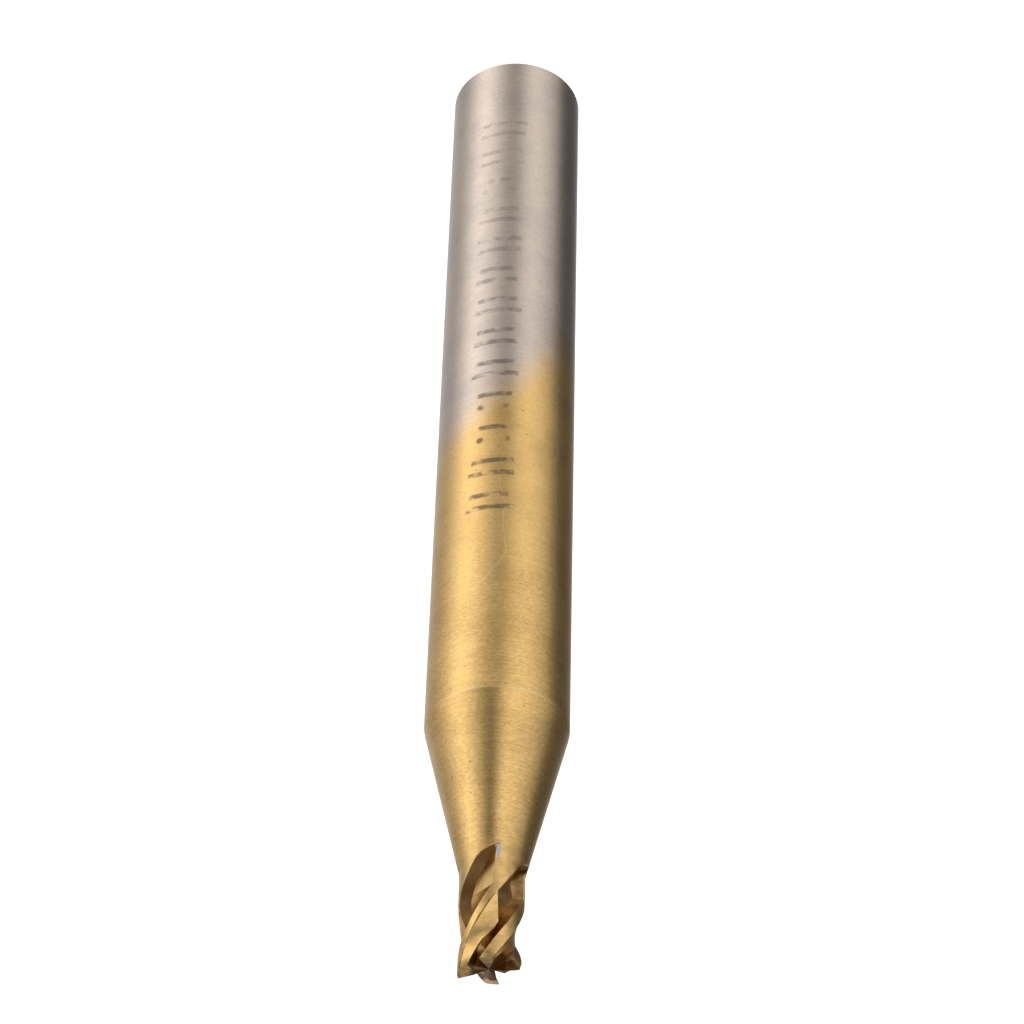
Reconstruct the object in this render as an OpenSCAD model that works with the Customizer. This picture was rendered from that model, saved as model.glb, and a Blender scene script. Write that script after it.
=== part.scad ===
// Four-flute end mill with a stepped shank: a plain 6 mm shank, a coned neck and a 2.5 mm cutter.
// The tool stands on the rear end of its shank. The axis is Z, with the cutting end at the top.
// It is ground from one bar, so its zones meet face to face and nothing moves.

/* [Shank] */
// Overall length of the tool
overall_l = 50; // [46:1:60]
// Shank diameter
shank_d = 6; // [5:0.5:8]
// Chamfer at the rear end of the shank
rear_chamfer = 0.15; // [0.05:0.05:0.6]
// Length of the coated stretch, measured back from the cutting end
coated_l = 30; // [20:0.2:34]

/* [Neck] */
// Diameter of the neck where the cone begins
neck_d = 2.62; // [2.5:0.02:2.8]
// Distance from the cutting end to the start of the cone
cone_start = 4.65; // [4.4:0.05:4.8]
// Distance from the cutting end to the shank's shoulder
shoulder_at = 11.85; // [10:0.25:14]

/* [Cutter] */
// Cutting diameter
cut_d = 2.5; // [2.4:0.02:2.6]
// Length over which the outside is ground to the cutting diameter
ground_l = 2.4; // [1.5:0.1:3]
// Distance from the cutting end to where the outside has reached the neck's diameter
full_neck_at = 3.2; // [3.1:0.1:3.6]
// Distance from the cutting end to where the flutes have run out
flute_end = 5.4; // [5.2:0.05:5.6]
// Diameter of the web left between the flutes
web_d = 1.2; // [0.9:0.05:1.22]
// Depth of a flute at the cutting end
flute_depth = 0.63; // [0.57:0.01:0.63]
// Depth of a flute's straight run-out
run_out_depth = 0.41; // [0.3:0.01:0.45]
// Helix angle at the cutting diameter
helix_angle = 31.5; // [28:0.5:35]

/* [End teeth] */
// Hollow of the end, as an angle from the flat
dish_angle = 4; // [1:0.5:6]
// Relief behind each end cutting edge
end_relief = 9; // [5:1:12]
// Depth of the gash between two end teeth, at the outside
gash_depth = 0.9; // [0.6:0.05:1]
// Hollow at the very centre of the end
centre_depth = 0.2; // [0.1:0.05:0.3]

/* [Hidden] */

teeth = 4;
pitch_angle = 360 / teeth;
first_edge = -74;                     // direction of tooth 1's even place at the cutting end
edges = [-3, 0, -8, 12];              // each cutting edge, back from the tooth's even place
heels = [21, 24, 27, 27];             // each heel, back from the tooth's even place
end_edges = [-3, 0, -17, 0];          // the cutting edges at the worn end
end_heels = [21, 24, 8, 27];          // the heels at the worn end
feet = [72, 72, 70, 74];              // bottom of the flute behind each tooth
swings = [3.8, 3.8, 2.9, 4.1];        // where that bottom swings over towards the run-out
gashes = [0.02, 0.05, 0, 0.38];       // where the end gash starts across each flute
worn = [0, 0.6, 0.36, 0.03];          // wear of each tooth's outer corner
run_out_foot = 46;                    // bottom of a flute in its run-out
run_out_starts = 3.35;                // where the cutting edge leaves the helix
crease_top = 3.1;                     // where the run-out's wall leaves the heel
crease_run = 1.2;                     // length over which that crease crosses the flute
lift_starts = 4.5;                    // where the wheel starts to lift
lift_ends = flute_end - 0.16;         // where it has left the bar
end_run = 1.8;                        // length over which the worn end passes into the body
edge_swing = 25;                      // swing of the cutting edge in the run-out, degrees a millimetre
foot_swing_l = 0.8;                   // length over which a flute's bottom swings over
foot_creep = 8;                       // further move of the bottom along the run-out
foot_creep_starts = 4;
foot_gap = 4;                         // least angle between a flute's bottom and the lands beside it
deepens_at = [3.3, 1.4];              // where the flute deepens, in two stages
deepens_run = 1.2;
first_stage = 0.64;                   // share of the deepening that the first stage gives
step_angle = 1.1;                     // width of the small step behind a heel
heel_step = 0.07;                     // and its height
top_gap = 2.2;                        // least angle between a heel and the top of its wall
foot_rise = 6;                        // angle from the top of the wall to the bottom, clear of the run-out
notch = 13;                           // the wall's top moves back by this angle in the end gash
notch_starts = 1.7;
notch_run = 0.9;
relief_fall = 0.2;                    // fall of the relief over relief_angle
relief_angle = 40;
gash_wall = 0.2;                      // width of the gash's two walls, as shares of the flute
gash_edge = 0.1;
cut_r = cut_d / 2;
web_r = web_d / 2;
twist_per_mm = tan(helix_angle) / cut_r * 180 / PI;
coat_z = overall_l - coated_l;
shoulder_z = overall_l - shoulder_at;
head_z = overall_l - flute_end;
spans = [6, 4, 1, 4, 5];              // columns of a tooth: rake face, land, step, relief, wall
starts = [0, 6, 10, 11, 15];
columns = 20;
rows = 22;
steel = [0.72, 0.66, 0.58];
gold = [0.85, 0.67, 0.32];

function limit(x) = max(0, min(1, x));
function smooth(x) = let (c = limit(x)) c * c * (3 - 2 * c);

// Radius of the unfluted bar at a distance s back from the cutting end
function bar_r(s) =
    s > cone_start
        ? neck_d / 2 + (shank_d - neck_d) / 2 * (s - cone_start) / (shoulder_at - cone_start)
        : cut_r + (neck_d / 2 - cut_r) * limit((s - ground_l) / (full_neck_at - ground_l));

// Bottom of the flute behind tooth k at s, as an angle back from the tooth's place and a radius
function lift(s) = pow(limit((s - lift_starts) / (lift_ends - lift_starts)), 2);
function depth(s) =
    run_out_depth + (flute_depth - run_out_depth) * (
        first_stage * smooth((deepens_at[0] - s) / deepens_run)
        + (1 - first_stage) * smooth((deepens_at[1] - s) / deepens_run));
function foot(k, s) = [
    run_out_foot + (feet[k] - run_out_foot) * smooth((swings[k] - s) / foot_swing_l)
        + foot_creep * smooth((s - foot_creep_starts) / deepens_run),
    max(web_r + 0.02, bar_r(s) - (1 - lift(s)) * depth(s))];

// The six lines that bound tooth k at s: foot, cutting edge, heel, step, top of the wall, foot
function before(k) = (k + teeth - 1) % teeth;
function crease(s) = limit((crease_top - s) / crease_run);
function back_foot(k, s) = foot(before(k), s) - [pitch_angle, 0];
function edge(k, s) =
    max(back_foot(k, s)[0] + foot_gap,
        end_edges[k] + (edges[k] - end_edges[k]) * smooth(s / end_run)
            - edge_swing * max(0, s - run_out_starts));
function heel(k, s) =
    let (h = end_heels[k] + (heels[k] - end_heels[k]) * smooth(s / end_run))
    h + (foot(k, s)[0] - foot_gap - h) * lift(s);
function wall_top(k, s) =
    let (h = heel(k, s), f = foot(k, s)[0])
    min(f - 1, h + top_gap + (f - foot_rise - h) * crease(s)
        - notch * smooth((notch_starts - s) / notch_run));
function step_r(s) = bar_r(s) - heel_step * smooth(5 * crease(s));
function top_r(k, s) = step_r(s)
    - relief_fall * pow(limit((wall_top(k, s) - heel(k, s)) / relief_angle), 1.5);
function tooth_lines(k, s) = [
    back_foot(k, s), [edge(k, s), bar_r(s)], [heel(k, s), bar_r(s)],
    [heel(k, s) + step_angle, step_r(s)], [wall_top(k, s), top_r(k, s)], foot(k, s)];

// Angle and radius of the outside of tooth k in column j at s: straight between its lines, round on the land
function span_of(j) = j < starts[1] ? 0 : j < starts[2] ? 1 : j < starts[3] ? 2 : j < starts[4] ? 3 : 4;
function skin(k, s, j) =
    let (p = span_of(j), t = (j - starts[p]) / spans[p], lines = tooth_lines(k, s),
         a = lines[p], b = lines[p + 1], u = a[0] + (b[0] - a[0]) * t)
    p == 1 ? [u, a[1] + (b[1] - a[1]) * t]
    : [u, a[1] * b[1] * sin(b[0] - a[0]) / (a[1] * sin(u - a[0]) + b[1] * sin(b[0] - u))];

// Drop of the end face below the cutting end, at angle u and radius r on tooth k or just ahead of it
function end_drop(k, u, r) =
    u < end_edges[k] - 0.001
        ? plain_drop(before(k), u + pitch_angle, r)
        : plain_drop(k, u, r);
function plain_drop(k, u, r) =
    let (next_edge = end_edges[(k + 1) % teeth] + pitch_angle, out = r / cut_r,
         x = limit((u - end_heels[k]) / (next_edge - end_heels[k])),
         back = limit((u - end_edges[k]) / (end_heels[k] - end_edges[k])) * (end_heels[k] - end_edges[k]),
         start = gashes[k] * smooth((out - 0.45) / 0.45),
         gash = smooth((x - start) / gash_wall) * smooth((1 - x) / gash_edge),
         wear = worn[k] * smooth((out - 0.35) / 0.6) * (1 - smooth(x / 0.3)))
    centre_depth * pow(1 - out, 2) + (cut_r - r) * tan(dish_angle)
    + r * back * PI / 180 * tan(end_relief) + gash_depth * pow(out, 0.7) * gash + wear;

// Points of tooth k, column j, a fraction t of the way from where the flutes end up to the end face
function place(k, u, r, s) =
    let (a = first_edge - u - pitch_angle * k - twist_per_mm * s)
    [r * cos(a), r * sin(a), overall_l - s];
function end_s(k, j) =
    let (p = skin(k, 0, j), q = skin(k, end_drop(k, p[0], p[1]), j))
    end_drop(k, q[0], q[1]);
function web_end_s(k, j) = end_drop(k, skin(k, end_s(k, j), j)[0], web_r);
function outer_point(k, j, t) =
    let (s = flute_end + (end_s(k, j) - flute_end) * t, p = skin(k, s, j))
    place(k, p[0], p[1], s);
function web_point(k, j, t) =
    let (s = flute_end + (web_end_s(k, j) - flute_end) * t)
    place(k, skin(k, s, j)[0], web_r, s);

// Two triangles between columns a and b, of n columns, over rows i and i + 1
function quad(a, b, i, n) = [
    [i * n + a, i * n + b, (i + 1) * n + b],
    [i * n + a, (i + 1) * n + b, (i + 1) * n + a]];
function quad_back(a, b, i, n) =
    [[i * n + a, i * n + b, (i + 1) * n + a], [i * n + b, (i + 1) * n + b, (i + 1) * n + a]];

// One helical tooth from the web outwards, with half a flute on each side
module tooth(k) {
    m = columns + 1;
    n = 2 * m;
    points = [for (i = [0 : rows]) each concat(
        [for (j = [0 : columns]) outer_point(k, j, i / rows)],
        [for (j = [columns : -1 : 0]) web_point(k, j, i / rows)])];
    top = rows * n;
    outside = [for (i = [0 : rows - 1], j = [0 : m - 2]) each quad(j, j + 1, i, n)];
    back_wall = [for (i = [0 : rows - 1]) each quad(m - 1, m, i, n)];
    inside = [for (i = [0 : rows - 1], j = [m : n - 2]) each quad_back(j, j + 1, i, n)];
    front_wall = [for (i = [0 : rows - 1]) each quad_back(n - 1, 0, i, n)];
    top_cap = [for (j = [0 : m - 2]) each [
        [top + j, top + j + 1, top + n - 2 - j], [top + j, top + n - 2 - j, top + n - 1 - j]]];
    foot_cap = [for (j = [0 : m - 2]) each [[j, n - 1 - j, n - 2 - j], [j, n - 2 - j, j + 1]]];
    color(gold) polyhedron(points, concat(outside, back_wall, inside, front_wall, top_cap, foot_cap));
}

// The web at the middle of the fluted length, up to the hollow end
module web_core() {
    n = teeth * columns;
    points = concat(
        [for (i = [0 : rows], k = [0 : teeth - 1], j = [0 : columns - 1]) web_point(k, j, i / rows)],
        [[0, 0, head_z], [0, 0, overall_l - end_drop(0, 0, 0)]]);
    foot_centre = (rows + 1) * n;
    top_centre = foot_centre + 1;
    wall = [for (i = [0 : rows - 1], j = [0 : n - 1]) each quad(j, (j + 1) % n, i, n)];
    foot_cap = [for (j = [0 : n - 1]) [foot_centre, (j + 1) % n, j]];
    top_cap = [for (j = [0 : n - 1]) [top_centre, rows * n + j, rows * n + (j + 1) % n]];
    color(gold) polyhedron(points, concat(wall, foot_cap, top_cap));
}

// Bare end of the shank, chamfered for the collet
module shank_rear() {
    color(steel) rotate_extrude($fn = 96) polygon([
        [0, 0], [shank_d / 2 - rear_chamfer, 0], [shank_d / 2, rear_chamfer],
        [shank_d / 2, coat_z], [0, coat_z]]);
}

// Coated front stretch of the shank, up to the shoulder
module shank_front() {
    color(gold) translate([0, 0, coat_z]) cylinder(h = shoulder_z - coat_z, d = shank_d, $fn = 96);
}

// Cone from the shank's shoulder down to the neck
module neck_cone() {
    color(gold) translate([0, 0, shoulder_z])
        cylinder(h = head_z - shoulder_z, d1 = shank_d, d2 = 2 * bar_r(flute_end), $fn = 96);
}

shank_rear();
shank_front();
neck_cone();
web_core();
tooth(0);  // tooth_1
tooth(1);  // tooth_2
tooth(2);  // tooth_3
tooth(3);  // tooth_4
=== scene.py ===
import math

import bpy
import numpy as np
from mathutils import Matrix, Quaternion, Vector

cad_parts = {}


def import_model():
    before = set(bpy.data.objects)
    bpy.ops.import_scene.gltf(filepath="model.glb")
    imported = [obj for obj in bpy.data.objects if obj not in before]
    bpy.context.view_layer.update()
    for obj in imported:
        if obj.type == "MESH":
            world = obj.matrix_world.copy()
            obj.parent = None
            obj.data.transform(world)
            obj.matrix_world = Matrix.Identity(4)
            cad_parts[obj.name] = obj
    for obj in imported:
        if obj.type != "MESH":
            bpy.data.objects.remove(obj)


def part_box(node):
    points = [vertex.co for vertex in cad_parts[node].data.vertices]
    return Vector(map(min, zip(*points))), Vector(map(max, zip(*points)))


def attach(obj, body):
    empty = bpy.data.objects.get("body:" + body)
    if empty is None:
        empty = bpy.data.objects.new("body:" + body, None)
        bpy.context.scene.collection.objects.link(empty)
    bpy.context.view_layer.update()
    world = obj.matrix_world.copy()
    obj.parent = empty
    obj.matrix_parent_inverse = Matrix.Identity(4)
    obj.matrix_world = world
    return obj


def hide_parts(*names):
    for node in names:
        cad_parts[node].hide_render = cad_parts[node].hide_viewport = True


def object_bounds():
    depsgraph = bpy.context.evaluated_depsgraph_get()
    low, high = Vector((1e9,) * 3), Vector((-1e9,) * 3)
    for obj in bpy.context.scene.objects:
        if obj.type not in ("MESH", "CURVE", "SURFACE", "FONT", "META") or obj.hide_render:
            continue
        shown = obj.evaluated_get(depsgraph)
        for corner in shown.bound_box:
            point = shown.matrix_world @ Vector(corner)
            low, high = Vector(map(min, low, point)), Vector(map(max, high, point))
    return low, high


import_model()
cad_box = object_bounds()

MM = 0.001

# ---------------------------------------------------------------- sizes, in millimetres and degrees

SHANK_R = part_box("shank_rear")[1][0] / MM
COAT_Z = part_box("shank_rear")[1][2] / MM
SHOULDER_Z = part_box("shank_front")[1][2] / MM
HEAD_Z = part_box("neck_cone")[1][2] / MM
TIP_Z = cad_box[1][2] / MM
CUT_R = 1.25
NECK_R = 1.31
WEB_R = 0.6
REAR_CHAMFER = 0.15
SHOULDER_ROUND = 0.14
HEAD_L = TIP_Z - HEAD_Z
# Distances back from the tip: narrow end of the cone, end of the cutting diameter, start of the full neck
CONE_START = 4.65
GROUND_L = 2.4
FULL_NECK_AT = 3.2
CONE_SLOPE = (SHANK_R - NECK_R) / (TIP_Z - SHOULDER_Z - CONE_START)

TEETH = 4
PITCH = 360 / TEETH
FIRST_EDGE = -74.0
HELIX = 31.5
TWIST = math.degrees(math.tan(math.radians(HELIX)) / CUT_R)

# Angles of each tooth's cutting edge and heel, back from its even place round the tool
EDGES = [-3.0, 0.0, -8.0, 12.0]
HEELS = [21.0, 24.0, 27.0, 27.0]
# The same two angles at the worn ends of the teeth, and the length over which the ends pass into the body
END_EDGES = [-3.0, 0.0, -17.0, 0.0]
END_HEELS = [21.0, 24.0, 8.0, 27.0]
END_RUN = 1.8
# Angle of the bottom of the flute behind each tooth, and where it starts to swing back from there
FEET = [72.0, 72.0, 70.0, 74.0]
SWINGS = [3.8, 3.8, 2.9, 4.1]
SWING_L = 0.8
# Flute in its run-out: angle and depth of its bottom, and how the bottom then moves on
RUN_OUT_FOOT = 46
RUN_OUT_DEPTH = 0.41
FOOT_CREEP = 8
FOOT_CREEP_STARTS = 4
# Where the flute gets deeper towards the tip, and by how much
DEEPENINGS = [(3.3, 0.14), (1.4, 0.08)]
FLUTE_RUN = 1.2
# Where the cutting edge leaves the helix, how fast it swings, and where the wheel lifts out of the bar
RUN_OUT_STARTS = 3.35
EDGE_SWING = 25
LIFT_STARTS = 4.5
LIFT_ENDS = HEAD_L - 0.16
# Where the wall's crease leaves the heel, and the length over which it crosses the flute
CREASE_TOP = 3.1
CREASE_RUN = 1.2
# Least angles between a flute's bottom and the lands, and between a heel and the top of its wall
FOOT_GAP = 4
TOP_GAP = 2.2
FOOT_RISE = 6
# The top of the wall moves back by the notch's angle at the end gash
NOTCH = 13
NOTCH_STARTS = 1.7
NOTCH_RUN = 0.9
# Small step behind a heel, and the fall of the relief over its angle
STEP_ANGLE = 1.1
HEEL_STEP = 0.07
RELIEF_FALL = 0.2
RELIEF_ANGLE = 40

# How far each tooth's outer corner has worn away, and where the gash behind it starts across the flute
WORN = [0.0, 0.6, 0.36, 0.03]
GASHES = [0.02, 0.05, 0.0, 0.38]
# Depth of a gash, and the widths of its two walls as shares of the flute
GASH_DEPTH = 0.9
GASH_WALL = 0.2
GASH_EDGE = 0.1
CENTRE_DEPTH = 0.2
# Shares of the cutting radius where a gash's slant and a corner's wear start, and those over which they grow
GASH_FROM = 0.45
GASH_OVER = 0.45
WEAR_FROM = 0.35
WEAR_OVER = 0.6
# Share of the flute behind a worn corner over which the wear fades
WEAR_FADE = 0.3
DISH = math.tan(math.radians(4))
END_RELIEF = math.tan(math.radians(9))


def smooth(x):
    x = np.clip(x, 0, 1)
    return x * x * (3 - 2 * x)


def bar_radius(s):
    """Radius of the unfluted bar at a distance s back from the tip."""
    cone = NECK_R + CONE_SLOPE * (s - CONE_START)
    blend = CUT_R + (NECK_R - CUT_R) * np.clip((s - GROUND_L) / (FULL_NECK_AT - GROUND_L), 0, 1)
    return np.where(s > CONE_START, cone, blend)


def flute_foot(k, s, bar, lift):
    """Angle and radius of the bottom of the flute behind tooth k."""
    foot = RUN_OUT_FOOT + (FEET[k] - RUN_OUT_FOOT) * smooth((SWINGS[k] - s) / SWING_L)
    foot = foot + FOOT_CREEP * smooth((s - FOOT_CREEP_STARTS) / FLUTE_RUN)
    depth = RUN_OUT_DEPTH + sum(deeper * smooth((at - s) / FLUTE_RUN) for at, deeper in DEEPENINGS)
    return foot, bar - (1 - lift) * depth


def flute_lines(k, s):
    """Angles and radii of the six lines that bound tooth k at s: foot, edge, heel, step, wall top, foot."""
    bar = bar_radius(s)
    lift = np.clip((s - LIFT_STARTS) / (LIFT_ENDS - LIFT_STARTS), 0, 1) ** 2
    foot, foot_r = flute_foot(k, s, bar, lift)
    foot_before, foot_before_r = flute_foot(k - 1, s, bar, lift)
    body = smooth(s / END_RUN)
    edge = END_EDGES[k] + (EDGES[k] - END_EDGES[k]) * body
    edge = edge - EDGE_SWING * np.clip(s - RUN_OUT_STARTS, 0, None)
    edge = np.maximum(edge, foot_before + FOOT_GAP - PITCH)
    heel = END_HEELS[k] + (HEELS[k] - END_HEELS[k]) * body
    heel = heel + (foot - FOOT_GAP - heel) * lift
    crease = np.clip((CREASE_TOP - s) / CREASE_RUN, 0, 1)
    top = heel + TOP_GAP + (foot - FOOT_RISE - heel) * crease - NOTCH * smooth((NOTCH_STARTS - s) / NOTCH_RUN)
    top = np.minimum(top, foot - 1)
    step_r = bar - HEEL_STEP * smooth(crease * 5)
    top_r = step_r - RELIEF_FALL * np.clip((top - heel) / RELIEF_ANGLE, 0, 1) ** 1.5
    return [(foot_before - PITCH, foot_before_r), (edge, bar), (heel, bar), (heel + STEP_ANGLE, step_r),
            (top, top_r), (foot, foot_r)]


# Numbers of columns between those lines, of rows along a tooth and of rings across its end face
SPANS = [26, 12, 3, 18, 16]
ROWS = 120
RINGS = 24
LAND = 1


def section(k, s, column):
    """Angle and radius of tooth k's outside in a column, straight between its lines except on the land."""
    lines = flute_lines(k, s)
    start = np.concatenate([[0], np.cumsum(SPANS)])
    part = int(np.clip(np.searchsorted(start, column, "right") - 1, 0, len(SPANS) - 1))
    t = (column - start[part]) / SPANS[part]
    (u1, r1), (u2, r2) = lines[part], lines[part + 1]
    u = u1 + (u2 - u1) * t
    if part == LAND:
        return u, r1 + (r2 - r1) * t
    gap = np.radians(u2 - u1)
    at = np.radians(u - u1)
    return u, r1 * r2 * np.sin(gap) / (r1 * np.sin(at) + r2 * np.sin(gap - at))


def end_drop(k, u, r):
    """Drop of tooth k's end face below the tip at angle u and radius r."""
    out = r / CUT_R
    land = END_HEELS[k] - END_EDGES[k]
    before, after = k - 1, (k + 1) % TEETH
    ahead = (u + PITCH - END_HEELS[before]) / (END_EDGES[k] + PITCH - END_HEELS[before])
    behind = np.clip((u - END_HEELS[k]) / (END_EDGES[after] + PITCH - END_HEELS[k]), 0, 1)
    leading = u < END_EDGES[k]
    x = np.where(leading, ahead, behind)
    gash = np.where(leading, GASHES[before], GASHES[k]) * smooth((out - GASH_FROM) / GASH_OVER)
    back = np.where(leading, END_HEELS[before] - END_EDGES[before], np.clip(u - END_EDGES[k], 0, land))
    wall = smooth((x - gash) / GASH_WALL) * smooth((1 - x) / GASH_EDGE)
    wear = WORN[k] * smooth((out - WEAR_FROM) / WEAR_OVER) * (1 - leading) * (1 - smooth(behind / WEAR_FADE))
    return (CENTRE_DEPTH * (1 - out) ** 2 + (CUT_R - r) * DISH + r * np.radians(back) * END_RELIEF
            + GASH_DEPTH * out ** 0.7 * wall + wear)


def place(k, u, r, s):
    a = np.radians(FIRST_EDGE - u - PITCH * k - TWIST * s)
    return np.stack([r * np.cos(a), r * np.sin(a), TIP_Z - s], -1)


# ---------------------------------------------------------------- meshes

# Angle past which an edge is sharp, and number of sides of a round
SHARP = 30
SEGMENTS = 256


def make_piece(name, verts, faces, replaced, material, painted_flute_shade=None, columns=None):
    mesh = bpy.data.meshes.new(name)
    mesh.from_pydata([tuple(v) for v in np.asarray(verts) * MM], [], faces)
    # per-point painted shade of the flutes, stored for the cutter's material to turn brown
    if painted_flute_shade is not None:
        flute = mesh.attributes.new("flute", "FLOAT", "POINT")
        flute.data.foreach_set("value", np.asarray(painted_flute_shade, np.float32))
    mesh.shade_smooth()
    mesh.set_sharp_from_angle(angle=math.radians(SHARP))
    if columns is not None:
        soften_between_lines(mesh, columns)
    obj = bpy.data.objects.new(name, mesh)
    bpy.context.scene.collection.objects.link(obj)
    mesh.materials.append(material)
    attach(obj, "root")
    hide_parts(replaced)
    return obj


def soften_between_lines(mesh, columns):
    """Keep a tooth's sharp edges only on the lines of its section and on the rim of its end face."""
    ends = np.zeros(len(mesh.edges) * 2, int)
    mesh.edges.foreach_get("vertices", ends)
    row, column = np.divmod(ends.reshape(-1, 2), columns)
    on_line = (column[:, 0] == column[:, 1]) & np.isin(column[:, 0], np.cumsum([0] + SPANS))
    on_rim = (row[:, 0] == row[:, 1]) & np.isin(row[:, 0], [0, ROWS, ROWS + RINGS])
    sharp = np.zeros(len(mesh.edges), bool)
    marks = mesh.attributes["sharp_edge"].data
    marks.foreach_get("value", sharp)
    marks.foreach_set("value", sharp & (on_line | on_rim))


def revolve(outline, n=SEGMENTS):
    """Solid of revolution from (radius, z) points that start and end on the axis."""
    a = np.arange(n) / n * 2 * math.pi
    ring = [np.stack([r * np.cos(a), r * np.sin(a), np.full(n, z)], -1) for r, z in outline[1:-1]]
    verts = np.concatenate(ring + [np.array([[0, 0, outline[0][1]], [0, 0, outline[-1][1]]])])
    rings = len(ring)
    foot, top = rings * n, rings * n + 1
    faces = [(i * n + j, i * n + (j + 1) % n, (i + 1) * n + (j + 1) % n, (i + 1) * n + j)
             for i in range(rings - 1) for j in range(n)]
    faces += [(foot, (j + 1) % n, j) for j in range(n)]
    faces += [(top, (rings - 1) * n + j, (rings - 1) * n + (j + 1) % n) for j in range(n)]
    return verts, faces


# Rounds of the search for a column's end, and the share of the way that each round goes
SETTLE_ROUNDS = 30
SETTLE_SHARE = 0.3


def tooth_grids(k):
    """Points of tooth k: its outside from foot to end, then the rings of its end face, then its inside."""
    t = np.linspace(0, 1, ROWS + 1)
    ring = np.linspace(0, 1, RINGS + 1)
    outside, rings, inside = [], [], []
    for column in range(sum(SPANS) + 1):
        end = 0.0
        for _ in range(SETTLE_ROUNDS):
            u, r = section(k, end, column)
            end += SETTLE_SHARE * (float(end_drop(k, u, r)) - end)
        u, r = section(k, end, column)
        s = HEAD_L + (end - HEAD_L) * t
        outside.append(place(k, *section(k, s, column), s))
        inner_end = float(end_drop(k, u, WEB_R))
        r_ring = r + (WEB_R - r) * ring
        u_ring = np.full(RINGS + 1, u)
        rings.append(place(k, u_ring, r_ring, end_drop(k, u_ring, r_ring)))
        s = HEAD_L + (inner_end - HEAD_L) * t
        lean = u - section(k, np.array(inner_end), column)[0]
        inside.append(place(k, section(k, s, column)[0] + lean * t, np.full(ROWS + 1, WEB_R), s))
    outside, rings, inside = (np.stack(g, 1) for g in (outside, rings, inside))
    return outside, rings, inside


# Painted shade in the flutes: how brown the colour is made on each tooth's rake face and on the flute wall
# behind its heel
RAKE_PAINTED_SHADE = [0.72, 0.75, 0.6, 0.0]
WALL_PAINTED_SHADE = [0.8, 0.8, 1.0, 0.5]
# The same for the step and the relief, and the depth below the bar where the full painted shade is reached
STEP_PAINTED_SHADE = 0.75
RELIEF_PAINTED_SHADE = 0.08
PAINTED_SHADE_DEPTH = 0.03


def tooth(k, material):
    outside, rings, inside = tooth_grids(k)
    # rows run up the outside, across the end face and down the inside
    grid = np.concatenate([outside, rings[1:-1], inside[::-1]])
    n_rows, m = grid.shape[:2]
    verts = grid.reshape(-1, 3)
    faces = [(i * m + j + 1, i * m + j, (i + 1) * m + j, (i + 1) * m + j + 1)
             for i in range(n_rows - 1) for j in range(m - 1)]
    faces += side_wall(0, m, n_rows, True) + side_wall(m - 1, m, n_rows, False)
    faces += [(j, j + 1, (n_rows - 1) * m + j + 1, (n_rows - 1) * m + j) for j in range(m - 1)]
    # painted shade: colour turned brown on the recessed parts of the section, growing with depth below the bar
    part = np.repeat(np.arange(len(SPANS)), SPANS)
    part_painted_shades = np.array([RAKE_PAINTED_SHADE[k], 0.0, STEP_PAINTED_SHADE, RELIEF_PAINTED_SHADE, WALL_PAINTED_SHADE[k]])
    column_painted_shade = np.append(part_painted_shades[part], WALL_PAINTED_SHADE[k])
    below = bar_radius(TIP_Z - grid[..., 2]) - np.hypot(grid[..., 0], grid[..., 1])
    painted_flute_shade = (column_painted_shade * np.clip(below / PAINTED_SHADE_DEPTH, 0, 1)).ravel()
    return make_piece(f"tooth_{k + 1}_body", verts, faces, f"tooth_{k + 1}", material,
                      painted_flute_shade=painted_flute_shade, columns=m)


def side_wall(column, m, n_rows, flip):
    """Faces that close one side of a tooth, along the bottom of a flute."""
    out = []
    for i in range(ROWS):
        a, b = i * m + column, (i + 1) * m + column
        c, d = (n_rows - 2 - i) * m + column, (n_rows - 1 - i) * m + column
        out.append((a, d, c, b) if flip else (a, b, c, d))
    end = [(ROWS + i) * m + column for i in range(RINGS + 1)]
    out.append(tuple(reversed(end)) if flip else tuple(end))
    return out


def web(material):
    """Round web between the teeth, on the same points as their inside."""
    grids = [tooth_grids(k) for k in range(TEETH)]
    wall = np.concatenate([inside[:, :-1] for _, _, inside in grids], 1)
    tops = np.concatenate([rings[-1, :-1] for _, rings, _ in grids], 0)
    n = wall.shape[1]
    centre = np.array([0, 0, TIP_Z - CENTRE_DEPTH - CUT_R * DISH])
    rings = [centre + (tops - centre) * (1 - i / RINGS) for i in range(1, RINGS)]
    grid = np.concatenate([wall, np.array(rings)])
    n_rows = len(grid)
    verts = np.concatenate([grid.reshape(-1, 3), [[0, 0, HEAD_Z], centre]])
    foot, top = n_rows * n, n_rows * n + 1
    faces = [(i * n + (j + 1) % n, i * n + j, (i + 1) * n + j, (i + 1) * n + (j + 1) % n)
             for i in range(n_rows - 1) for j in range(n)]
    faces += [(foot, j, (j + 1) % n) for j in range(n)]
    faces += [(top, (n_rows - 1) * n + (j + 1) % n, (n_rows - 1) * n + j) for j in range(n)]
    return make_piece("web_body", verts, faces, "web_core", material)


# ---------------------------------------------------------------- materials

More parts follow.
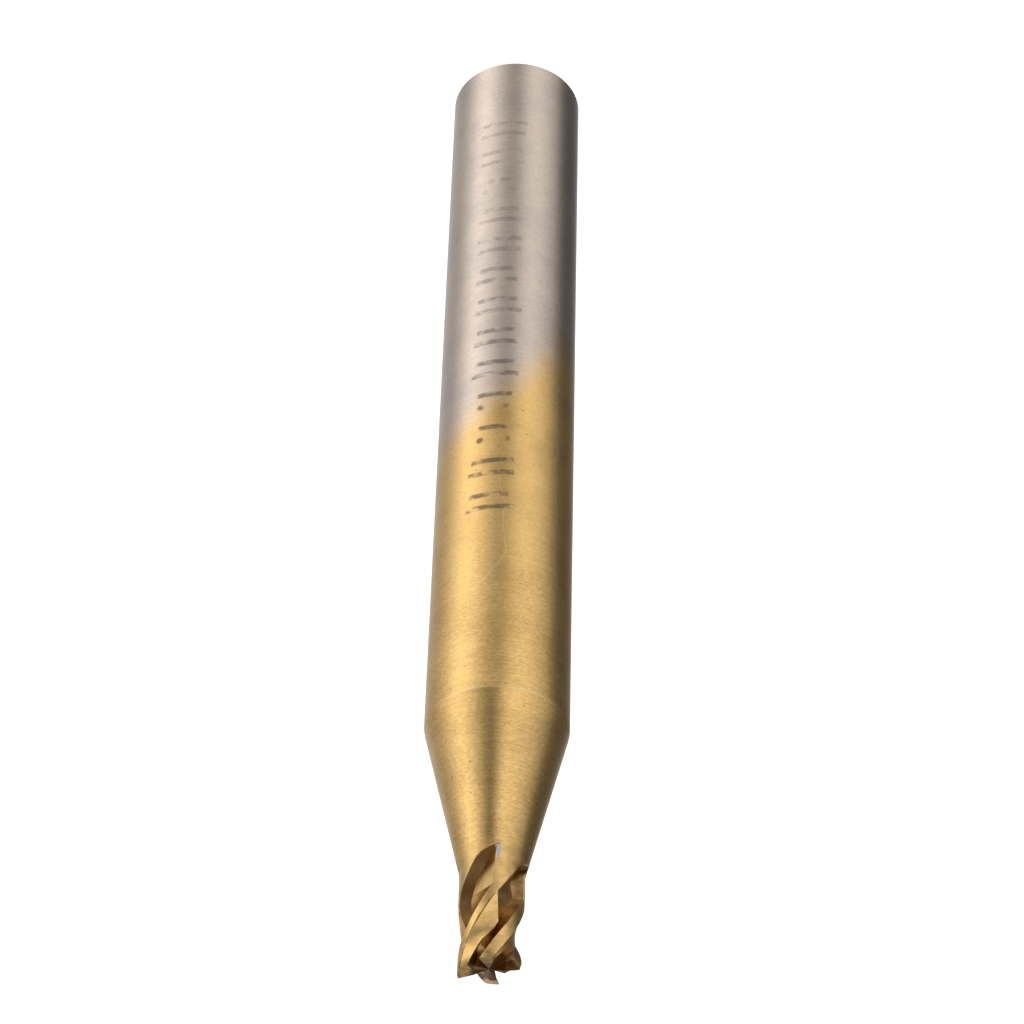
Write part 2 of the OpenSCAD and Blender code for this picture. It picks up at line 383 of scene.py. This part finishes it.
class Graph:
    """Builds the node tree of one metal, with lengths in millimetres."""

    def __init__(self, name):
        self.material = bpy.data.materials.new(name)
        self.material.use_nodes = True
        self.tree = self.material.node_tree
        self.shader = self.tree.nodes["Principled BSDF"]
        coordinates = self.add("ShaderNodeTexCoord").outputs["Object"]
        scaled = self.add("ShaderNodeVectorMath", operation="SCALE")
        self.link(coordinates, scaled.inputs[0])
        scaled.inputs["Scale"].default_value = 1 / MM
        self.point = scaled.outputs[0]
        parts = self.add("ShaderNodeSeparateXYZ")
        self.link(self.point, parts.inputs[0])
        self.x, self.y, self.z = parts.outputs
        # angle round the tool from its marked side, and the arc length on the shank for it
        self.angle = self.math("ARCTAN2", self.x, self.math("MULTIPLY", self.y, -1))
        self.arc = self.math("MULTIPLY", self.angle, SHANK_R)

    def add(self, kind, **settings):
        node = self.tree.nodes.new(kind)
        for key, value in settings.items():
            setattr(node, key, value)
        return node

    def link(self, source, socket):
        self.tree.links.new(source, socket)

    def feed(self, value, socket):
        if isinstance(value, bpy.types.NodeSocket):
            self.link(value, socket)
        else:
            socket.default_value = value

    def math(self, operation, *values):
        node = self.add("ShaderNodeMath", operation=operation)
        for value, socket in zip(values, node.inputs):
            self.feed(value, socket)
        return node.outputs[0]

    def step(self, value, low, high):
        """Smooth step that goes from 0 at low to 1 at high."""
        node = self.add("ShaderNodeMapRange", interpolation_type="SMOOTHSTEP")
        self.feed(value, node.inputs["Value"])
        node.inputs["From Min"].default_value = min(low, high)
        node.inputs["From Max"].default_value = max(low, high)
        node.inputs["To Min"].default_value = 0 if low < high else 1
        node.inputs["To Max"].default_value = 1 if low < high else 0
        return node.outputs["Result"]

    def mix(self, factor, first, second, blend="MIX"):
        node = self.add("ShaderNodeMix", data_type="RGBA", blend_type=blend)
        self.feed(factor, node.inputs[0])
        self.feed(first, node.inputs[6])
        self.feed(second, node.inputs[7])
        return node.outputs[2]

    def stretch(self, sx, sy, sz):
        node = self.add("ShaderNodeVectorMath", operation="MULTIPLY")
        self.link(self.point, node.inputs[0])
        node.inputs[1].default_value = (sx, sy, sz)
        return node.outputs[0]

    def noise(self, vector, scale=1.0, detail=3.0):
        node = self.add("ShaderNodeTexNoise")
        self.link(vector, node.inputs["Vector"])
        node.inputs["Scale"].default_value = scale
        node.inputs["Detail"].default_value = detail
        return node.outputs[0]

    def grey(self, value):
        node = self.add("ShaderNodeCombineColor")
        for socket in node.inputs:
            self.link(value, socket)
        return node.outputs[0]

    def spot(self, angle, z, half_arc, half_length, radius, soft=0.5):
        """Soft-edged oval mark at an angle in degrees and a height, on a round of the given radius."""
        turn = self.math("SUBTRACT", self.angle, math.radians(angle))
        across_it = self.math("MULTIPLY", turn, radius / half_arc)
        along_it = self.math("MULTIPLY", self.math("SUBTRACT", self.z, z), 1 / half_length)
        square = self.math("MULTIPLY_ADD", along_it, along_it, self.math("MULTIPLY", across_it, across_it))
        return self.step(square, 1 + soft, 1 - soft)

    def scratch(self, start, end, half_width):
        """Hairline between two points given as angle in degrees and height."""
        ax, az = math.radians(start[0]) * SHANK_R, start[1]
        dx, dz = math.radians(end[0]) * SHANK_R - ax, end[1] - az
        size = dx * dx + dz * dz
        px = self.math("SUBTRACT", self.arc, ax)
        pz = self.math("SUBTRACT", self.z, az)
        along = self.math("MULTIPLY_ADD", px, dx / size, self.math("MULTIPLY", pz, dz / size))
        along = self.math("MINIMUM", self.math("MAXIMUM", along, 0.0), 1.0)
        ex = self.math("MULTIPLY_ADD", along, -dx, px)
        ez = self.math("MULTIPLY_ADD", along, -dz, pz)
        gap = self.math("SQRT", self.math("MULTIPLY_ADD", ex, ex, self.math("MULTIPLY", ez, ez)))
        return self.step(gap, half_width * 1.6, half_width * 0.5)


GOLD = (0.88, 0.568, 0.212, 1)
PALE_GOLD = (0.97, 0.74, 0.4, 1)
OLIVE = (0.6, 0.38, 0.14, 1)
BROWN = (0.135, 0.064, 0.024, 1)
STEEL = (0.70, 0.585, 0.495, 1)
DULL_STEEL = (0.55, 0.47, 0.42, 1)
INK = (0.13, 0.10, 0.085, 1)
BARE = (0.42, 0.42, 0.52, 1)


# Height of the coating's edge on the shank: its middle, its rise to either side and the way it leans
SLANT_Z = 19.95
SLANT_RISE = 3.6
SLANT_TOWARDS = 70


def bare_chip(g, grain, color):
    """Bare chip in the coating, at the end of a flute."""
    chip = g.spot(-9, TIP_Z - 4.95, 0.08, 0.36, NECK_R)
    return g.mix(g.math("MULTIPLY", chip, g.step(grain, 0.25, 0.5)), color, BARE)


def bar_metal(name):
    """Ground bar whose front is coated gold, with the coating's edge running slantwise round the shank."""
    g = Graph(name)
    cloud = g.noise(g.point, 0.55, 4)
    grain = g.noise(g.point, 9.0, 4)
    rings = g.noise(g.stretch(0.25, 0.25, 9.0), 1.0, 4)
    fine_rings = g.noise(g.stretch(0.6, 0.6, 34.0), 1.0, 2)
    speckle = g.noise(g.stretch(3.5, 3.5, 8.0), 1.6, 3)
    lean = g.math("COSINE", g.math("SUBTRACT", g.angle, math.radians(SLANT_TOWARDS)))
    slant = g.math("MULTIPLY_ADD", lean, SLANT_RISE, SLANT_Z)
    beyond = g.math("SUBTRACT", g.z, slant)
    beyond = g.math("MULTIPLY_ADD", g.math("SUBTRACT", cloud, 0.5), 2.0, beyond)
    coated = g.step(beyond, -1.5, 1.9)

    steel_color = g.mix(g.math("MULTIPLY", g.step(cloud, 0.35, 0.7), 0.5), STEEL, DULL_STEEL)
    gold_color = g.mix(g.math("MULTIPLY", g.step(cloud, 0.38, 0.72), 0.45), GOLD, OLIVE)
    light = g.math("MULTIPLY", g.step(grain, 0.52, 0.72), 0.35)
    gold_color = g.mix(light, gold_color, PALE_GOLD)
    color = g.mix(coated, steel_color, gold_color)

    # grinding marks round the cone and the front of the shank, fainter further back
    near_cone = g.math("MULTIPLY_ADD", g.step(g.z, 26, 36), 0.55, 0.45)
    ring_shade = g.math("MULTIPLY", g.math("SUBTRACT", rings, 0.5), 0.28)
    ring_shade = g.math("MULTIPLY_ADD", g.math("SUBTRACT", fine_rings, 0.5), 0.25, ring_shade)
    ring_shade = g.math("MULTIPLY_ADD", g.math("SUBTRACT", speckle, 0.5), 0.75, ring_shade)
    ring_shade = g.math("MULTIPLY_ADD", ring_shade, near_cone, 1.0)
    color = g.mix(1.0, color, g.grey(ring_shade), "MULTIPLY")

    # pits and specks
    pits = g.add("ShaderNodeTexVoronoi")
    g.link(g.point, pits.inputs["Vector"])
    pits.inputs["Scale"].default_value = 1.9
    pit = g.math("MULTIPLY", g.step(pits.outputs["Distance"], 0.13, 0.05), g.step(grain, 0.42, 0.55))
    pit = g.math("MULTIPLY", pit, coated)
    color = g.mix(g.math("MULTIPLY", pit, 0.5), color, BROWN)

    # hairline scratches
    wave = g.math("MULTIPLY", g.math("SUBTRACT", g.noise(g.point, 0.9, 1), 0.5), 0.5)
    g.arc = g.math("ADD", g.arc, wave)
    hairline = g.scratch((4, 26.5), (-3, 31.0), 0.035)
    for start, end in [((-3, 31.0), (17, 32.6)), ((-45, 9.0), (-48, 33.5))]:
        hairline = g.math("MAXIMUM", hairline, g.scratch(start, end, 0.035))
    hairline = g.math("MULTIPLY", hairline, g.step(grain, 0.3, 0.55))
    color = g.mix(g.math("MULTIPLY", hairline, 0.6), color, PALE_GOLD)

    # painted highlight on the shoulder's edge, on the side towards the camera, and the bare chip at the end of
    # a flute
    shoulder = g.math("ABSOLUTE", g.math("SUBTRACT", g.z, SHOULDER_Z - 0.02))
    edge = g.math("MULTIPLY", g.step(shoulder, 0.08, 0.02), g.step(grain, 0.3, 0.6))
    # keeps the painted highlight to the side of the shoulder that faces the camera
    edge = g.math("MULTIPLY", edge, g.step(g.math("ABSOLUTE", g.angle), math.radians(72), math.radians(45)))
    color = g.mix(g.math("MULTIPLY", edge, 0.6), color, PALE_GOLD)
    color = bare_chip(g, grain, color)

    mark = etched_mark(g)
    color = g.mix(g.math("MULTIPLY", mark, 0.8), color, INK)
    g.link(color, g.shader.inputs["Base Color"])

    rough = g.math("MULTIPLY_ADD", g.math("SUBTRACT", rings, 0.5), 0.08, 0.19)
    rough = g.math("MULTIPLY_ADD", coated, 0.03, rough)
    rough = g.math("MULTIPLY_ADD", mark, 0.2, rough)
    g.link(rough, g.shader.inputs["Roughness"])

    height = g.math("MULTIPLY", fine_rings, 0.35)
    height = g.math("MULTIPLY_ADD", g.math("MULTIPLY", rings, near_cone), 0.5, height)
    height = g.math("MULTIPLY_ADD", grain, 0.5, height)
    height = g.math("SUBTRACT", height, g.math("MULTIPLY", g.math("ADD", pit, mark), 0.35))
    bump(g, height, 0.16, 0.01)
    g.shader.inputs["Metallic"].default_value = 1
    return g.material


def bump(g, height, strength, distance):
    node = g.add("ShaderNodeBump")
    node.inputs["Strength"].default_value = strength
    node.inputs["Distance"].default_value = distance * MM
    g.link(height, node.inputs["Height"])
    g.link(node.outputs["Normal"], g.shader.inputs["Normal"])


def etched_mark(g):
    """Plain row of etched bars and dots along the shank, worn away towards its rear end."""
    pitch, first, last, half_width = 1.95, 4.2, 29.3, 1.1
    middle = math.radians(12) * SHANK_R
    side = g.math("SUBTRACT", g.arc, middle)
    cell = g.math("FLOOR", g.math("MULTIPLY", g.z, 1 / pitch))
    chance = g.add("ShaderNodeTexWhiteNoise", noise_dimensions="1D")
    g.link(cell, chance.inputs["W"])
    chance = chance.outputs["Value"]
    within = g.math("MODULO", g.z, pitch)
    reach = g.math("MULTIPLY_ADD", chance, 0.55, 0.55)
    bar_a = g.step(g.math("ABSOLUTE", g.math("SUBTRACT", within, 0.45)), 0.18, 0.08)
    past_reach = g.math("SUBTRACT", g.math("ABSOLUTE", side), reach)
    bar_a = g.math("MULTIPLY", bar_a, g.step(past_reach, 0.06, -0.06))
    bar_b = g.step(g.math("ABSOLUTE", g.math("SUBTRACT", within, 1.15)), 0.18, 0.08)
    bar_b = g.math("MULTIPLY", bar_b, g.step(g.math("ABSOLUTE", side), half_width, half_width - 0.12))
    bar_b = g.math("MULTIPLY", bar_b, g.math("GREATER_THAN", chance, 0.42))
    dx = g.math("SUBTRACT", g.math("ABSOLUTE", side), 0.62)
    dz = g.math("SUBTRACT", within, 1.15)
    gap = g.math("SQRT", g.math("MULTIPLY_ADD", dx, dx, g.math("MULTIPLY", dz, dz)))
    dots = g.math("MULTIPLY", g.step(gap, 0.22, 0.1), g.math("LESS_THAN", chance, 0.42))
    mark = g.math("MAXIMUM", g.math("MAXIMUM", bar_a, bar_b), dots)
    span = g.math("MULTIPLY", g.step(g.z, first, first + 0.05), g.step(g.z, last, last - 0.05))
    wear = g.math("MULTIPLY_ADD", g.step(g.z, 8, 26), 0.6, 0.32)
    patches = g.step(g.noise(g.point, 2.2, 3), 0.3, 0.6)
    return g.math("MULTIPLY", g.math("MULTIPLY", mark, span), g.math("MULTIPLY", wear, patches))


def cutter_metal(name):
    """Coating on the cutting end: gold on the lands, dull in the flutes with painted shade that turns them
    brown, and brown at the worn ends.
    """
    g = Graph(name)
    flute = g.add("ShaderNodeAttribute", attribute_name="flute").outputs["Fac"]
    cloud = g.noise(g.point, 2.4, 4)
    grain = g.noise(g.point, 14.0, 3)
    lines = g.noise(g.stretch(1.2, 1.2, 26.0), 1.0, 2)
    color = g.mix(g.math("MULTIPLY", g.step(cloud, 0.4, 0.68), 0.7), GOLD, OLIVE)
    color = g.mix(g.math("MULTIPLY", g.step(grain, 0.5, 0.7), 0.3), color, PALE_GOLD)
    # painted shade: brown in the flutes from the flute attribute, patchy with the cloud, and strongest in
    # towards the core
    patchy_flute_shade = g.math("MULTIPLY_ADD", g.math("SUBTRACT", cloud, 0.5), 0.5, flute)
    radius = g.math("SQRT", g.math("MULTIPLY_ADD", g.x, g.x, g.math("MULTIPLY", g.y, g.y)))
    painted_core_shade = g.math("MULTIPLY", g.step(radius, 0.86, 0.62), 0.9)
    color = g.mix(g.math("MAXIMUM", g.math("MULTIPLY", g.step(patchy_flute_shade, 0.15, 1.0), 0.92), painted_core_shade), color, BROWN)
    # brown, worn coating on the outer ends of the teeth
    worn = g.math("MULTIPLY_ADD", g.math("SUBTRACT", cloud, 0.5), 0.9, g.math("SUBTRACT", g.z, TIP_Z - 0.45))
    color = g.mix(g.math("MULTIPLY", g.step(worn, 0.0, 0.5), 0.5), color, BROWN)
    shade = g.math("MULTIPLY_ADD", g.math("SUBTRACT", lines, 0.5), 0.3, 1.0)
    color = g.mix(1.0, color, g.grey(shade), "MULTIPLY")
    color = bare_chip(g, grain, color)
    g.link(color, g.shader.inputs["Base Color"])
    rough = g.math("MULTIPLY_ADD", flute, 0.12, 0.3)
    g.link(g.math("MULTIPLY_ADD", g.math("SUBTRACT", cloud, 0.5), 0.15, rough), g.shader.inputs["Roughness"])
    height = g.math("MULTIPLY_ADD", grain, 0.5, g.math("MULTIPLY", lines, 0.5))
    bump(g, height, 0.35, 0.014)
    g.shader.inputs["Metallic"].default_value = 1
    return g.material


shank_metal = bar_metal("coated_bar")
head_metal = cutter_metal("coated_cutter")

# ---------------------------------------------------------------- pieces

# outlines as radius and height, with the shoulder's edge rounded over SHOULDER_ROUND
shoulder_r = SHANK_R - 0.3 * CONE_SLOPE * SHOULDER_ROUND
rear = [(0, 0), (SHANK_R - REAR_CHAMFER, 0), (SHANK_R, REAR_CHAMFER), (SHANK_R, COAT_Z), (0, COAT_Z)]
front = [(0, COAT_Z), (SHANK_R, COAT_Z), (SHANK_R, SHOULDER_Z - SHOULDER_ROUND),
         (SHANK_R - 0.1 * CONE_SLOPE * SHOULDER_ROUND, SHOULDER_Z - 0.45 * SHOULDER_ROUND),
         (shoulder_r, SHOULDER_Z), (0, SHOULDER_Z)]
cone = [(0, SHOULDER_Z), (shoulder_r, SHOULDER_Z),
        (SHANK_R - 0.6 * CONE_SLOPE * SHOULDER_ROUND, SHOULDER_Z + 0.45 * SHOULDER_ROUND),
        (SHANK_R - CONE_SLOPE * SHOULDER_ROUND, SHOULDER_Z + SHOULDER_ROUND),
        (float(bar_radius(np.array(HEAD_L))), HEAD_Z), (0, HEAD_Z)]
for node, outline, slot in [("shank_rear", rear, "ground_steel"), ("shank_front", front, "gold_coating"),
                            ("neck_cone", cone, "gold_coating")]:
    verts, faces = revolve(outline)
    make_piece(node + "_body", verts, faces, node, shank_metal)
for k in range(TEETH):
    tooth(k, head_metal)
web(head_metal)

# ---------------------------------------------------------------- floor, light and camera

FLOOR_HALF = 1.5


def floor():
    """Plain pale floor in metres, which glows white and doesn't show in reflections."""
    mesh = bpy.data.meshes.new("floor")
    h = FLOOR_HALF
    mesh.from_pydata([(-h, -h, 0), (h, -h, 0), (h, h, 0), (-h, h, 0)], [], [(0, 1, 2, 3)])
    obj = bpy.data.objects.new("floor", mesh)
    bpy.context.scene.collection.objects.link(obj)
    mat = bpy.data.materials.new("floor")
    mat.use_nodes = True
    bsdf = mat.node_tree.nodes["Principled BSDF"]
    bsdf.inputs["Base Color"].default_value = (0.8, 0.8, 0.8, 1)
    bsdf.inputs["Roughness"].default_value = 0.9
    bsdf.inputs["Emission Color"].default_value = (1, 1, 1, 1)
    bsdf.inputs["Emission Strength"].default_value = 0.85
    mesh.materials.append(mat)
    obj.visible_glossy = False


# Brightness of the studio round the tool, against the angle from the camera's side towards +X
LOW_LIGHT = [(-180, .43), (-150, .07), (-110, .06), (-92, .13), (-80, .3), (-60, .49), (-36, .67),
             (-16, .485), (0, .26), (20, .35), (44, .745), (66, .94), (86, .57), (110, .295), (140, .31),
             (180, .43)]
HIGH_LIGHT = [(-180, .43), (-150, .06), (-100, .06), (-84, .235), (-60, .45), (-36, .62), (-20, .68),
              (-8, .52), (4, .14), (14, .14), (28, .3), (48, .68), (66, .87), (86, .52), (110, .245),
              (140, .245), (180, .43)]


def light_ramp(tree, turn, stops):
    node = tree.nodes.new("ShaderNodeValToRGB")
    ramp = node.color_ramp
    ramp.interpolation = "B_SPLINE"
    while len(ramp.elements) < len(stops):
        ramp.elements.new(0.5)
    for element, (angle, value) in zip(ramp.elements, stops):
        element.position = angle / 360 + 0.5
        element.color = (value, value, value, 1)
    tree.links.new(turn, node.inputs[0])
    return node.outputs[0]


def world():
    """Soft studio light by direction, with a ramp for low directions, a ramp above and white to the camera."""
    studio = bpy.data.worlds.new("studio")
    bpy.context.scene.world = studio
    studio.use_nodes = True
    tree = studio.node_tree
    tree.nodes.clear()
    add, link = tree.nodes.new, tree.links.new
    parts = add("ShaderNodeSeparateXYZ")
    link(add("ShaderNodeTexCoord").outputs["Generated"], parts.inputs[0])
    flipped = add("ShaderNodeMath")
    flipped.operation = "MULTIPLY"
    flipped.inputs[1].default_value = -1
    link(parts.outputs["Y"], flipped.inputs[0])
    angle = add("ShaderNodeMath")
    angle.operation = "ARCTAN2"
    link(parts.outputs["X"], angle.inputs[0])
    link(flipped.outputs[0], angle.inputs[1])
    turn = add("ShaderNodeMath")
    turn.operation = "MULTIPLY_ADD"
    turn.inputs[1].default_value = 1 / (2 * math.pi)
    turn.inputs[2].default_value = 0.5
    link(angle.outputs[0], turn.inputs[0])
    height = add("ShaderNodeMapRange")
    height.interpolation_type = "SMOOTHSTEP"
    height.inputs["From Min"].default_value = -0.55
    height.inputs["From Max"].default_value = -0.3
    link(parts.outputs["Z"], height.inputs["Value"])
    light = add("ShaderNodeMix")
    light.data_type = "RGBA"
    link(height.outputs["Result"], light.inputs[0])
    link(light_ramp(tree, turn.outputs[0], LOW_LIGHT), light.inputs[6])
    link(light_ramp(tree, turn.outputs[0], HIGH_LIGHT), light.inputs[7])
    lit = add("ShaderNodeBackground")
    lit.inputs["Strength"].default_value = 1.5
    link(light.outputs[2], lit.inputs["Color"])
    white = add("ShaderNodeBackground")
    white.inputs["Strength"].default_value = 1.0
    mix = add("ShaderNodeMixShader")
    link(add("ShaderNodeLightPath").outputs["Is Camera Ray"], mix.inputs[0])
    link(lit.outputs[0], mix.inputs[1])
    link(white.outputs[0], mix.inputs[2])
    link(mix.outputs[0], add("ShaderNodeOutputWorld").inputs[0])


# The camera's place in millimetres, its line of sight and its upward direction
CAMERA_AT = (0, -107.0, 120.13)
CAMERA_LOOK = (-0.00246, 0.75132, -0.65994)
CAMERA_UP = (0.03189, -0.65954, -0.75099)
LENS = 115.3


def camera():
    data = bpy.data.cameras.new("camera")
    data.sensor_width = 36
    data.lens = LENS
    data.clip_start = 0.01
    data.clip_end = 10
    cam = bpy.data.objects.new("camera", data)
    bpy.context.scene.collection.objects.link(cam)
    cam.location = Vector(CAMERA_AT) * MM
    look = Vector(CAMERA_LOOK).normalized()
    up = Vector(CAMERA_UP)
    base = look.to_track_quat("-Z", "Y")
    plain_up = base @ Vector((0, 1, 0))
    plain_right = base @ Vector((1, 0, 0))
    roll = math.atan2(-up.dot(plain_right), up.dot(plain_up))
    cam.rotation_mode = "QUATERNION"
    cam.rotation_quaternion = base @ Quaternion((0, 0, 1), roll)
    bpy.context.scene.camera = cam


floor()
world()
camera()
bpy.context.scene.view_settings.view_transform = "Standard"
